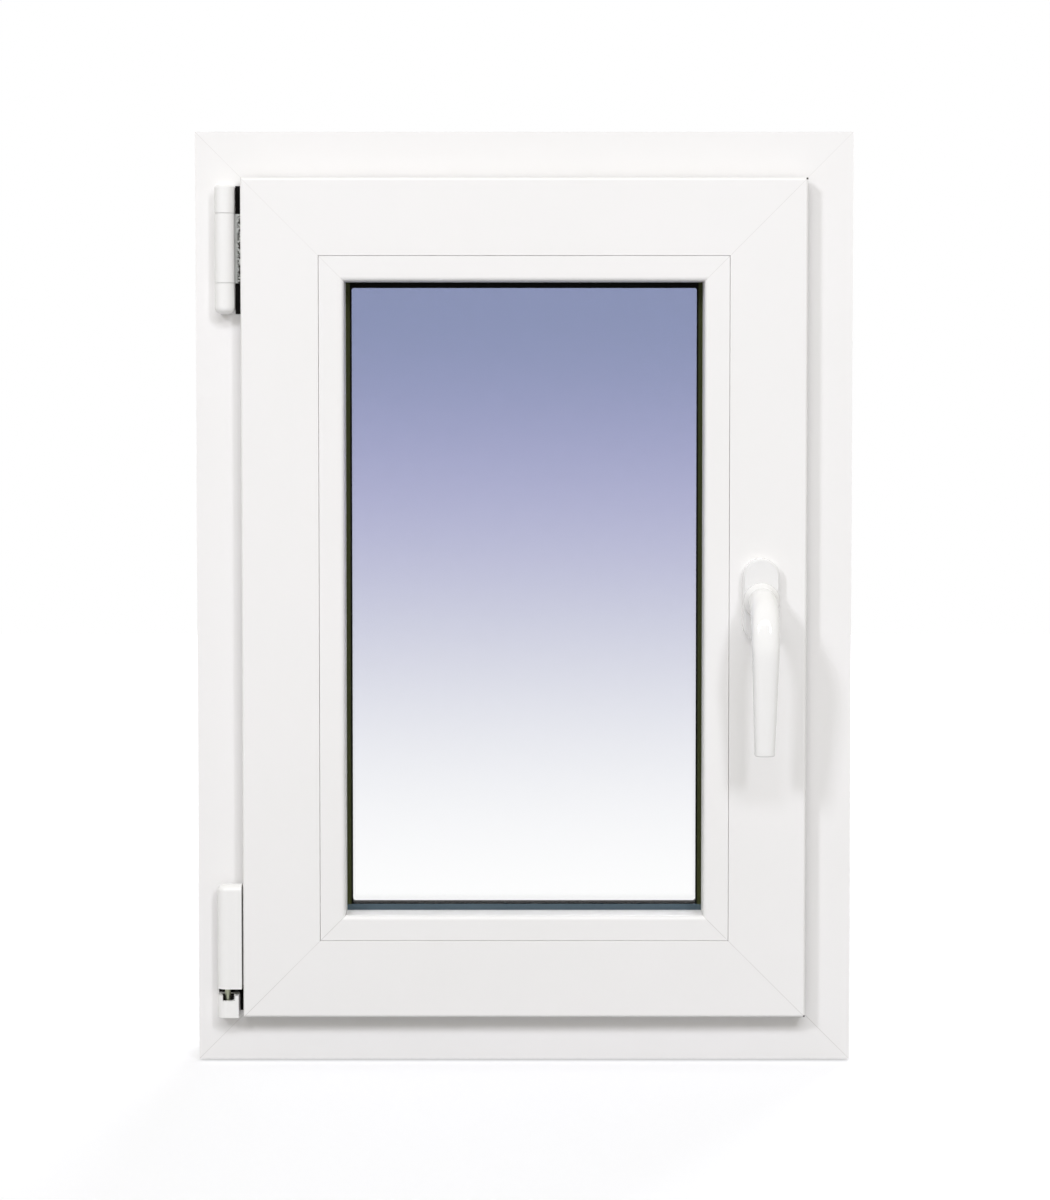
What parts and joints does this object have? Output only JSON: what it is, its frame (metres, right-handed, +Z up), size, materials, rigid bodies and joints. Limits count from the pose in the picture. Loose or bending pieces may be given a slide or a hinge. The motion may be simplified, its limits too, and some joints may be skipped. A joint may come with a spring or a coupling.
{
  "type": "tilt and turn window",
  "caption": "Single-sash tilt and turn window: mitred white plastic frame, insulating glass, side hinges and lever handle; the sash swings inward or tilts in at the top.",
  "frame": {"origin": "middle of the outer frame's bottom face", "axes": "+Z up, -Y towards the room, +Y outdoors, +X towards the handle side"},
  "size_m": [0.5, 0.1445, 0.71],
  "materials": {
    "pvc": "satin",
    "hinge_white": "satin",
    "handle_white": "gloss",
    "steel": "satin",
    "spacer": "satin",
    "nylon": "matte",
    "seal": "matte",
    "glass": "clear"
  },
  "bodies": {
    "frame": {"frame_bottom": "pvc", "frame_top": "pvc", "frame_left": "pvc", "frame_right": "pvc", "frame_seal": "seal", "upper_packer": "nylon", "corner_packer": "nylon", "upper_hinge_bearing": "hinge_white", "corner_bearing": "hinge_white", "strikers": "steel"},
    "pivots": {"corner_foot": "nylon", "upper_hinge_pin": "steel"},
    "sash": {"sash_bottom": "pvc", "sash_top": "pvc", "sash_left": "pvc", "sash_right": "pvc", "bead_bottom": "pvc", "bead_top": "pvc", "bead_left": "pvc", "bead_right": "pvc", "inner_pane": "glass", "outer_pane": "glass", "spacer_frame": "spacer", "inner_gasket": "seal", "outer_gasket": "seal", "sash_seal": "seal", "corner_pin": "steel", "corner_hinge": "steel", "corner_hinge_cover": "hinge_white", "handle_rosette": "handle_white", "lock_faceplate": "steel", "stay_guide": "steel", "locking_cams": "steel"},
    "handle": {"handle_lever": "handle_white"},
    "stay": {"stay_arm": "steel", "stay_cover": "hinge_white"}
  },
  "joints": [
    {"name": "turn", "type": "hinge", "parent": "frame", "child": "pivots", "pos_m": [-0.227, -0.044, 0.04], "axis": [0, 0, -1], "range_deg": [0, 95]},
    {"name": "tilt", "type": "hinge", "parent": "pivots", "child": "sash", "pos_m": [-0.227, -0.044, 0.04], "axis": [-1, 0, 0], "range_deg": [-9, 0]},
    {"name": "handle_turn", "type": "hinge", "parent": "sash", "child": "handle", "pos_m": [0.1795, -0.061, 0.355], "axis": [0, -1, 0], "range_deg": [-180, 0]},
    {"name": "stay_swing", "type": "hinge", "parent": "pivots", "child": "stay", "pos_m": [-0.227, -0.044, 0.62], "axis": [0, 0, -1], "range_deg": [0, 26]}
  ],
  "couplings": [
    {"joint": "stay_swing", "follows": "tilt", "ratio": -2.85}
  ]
}
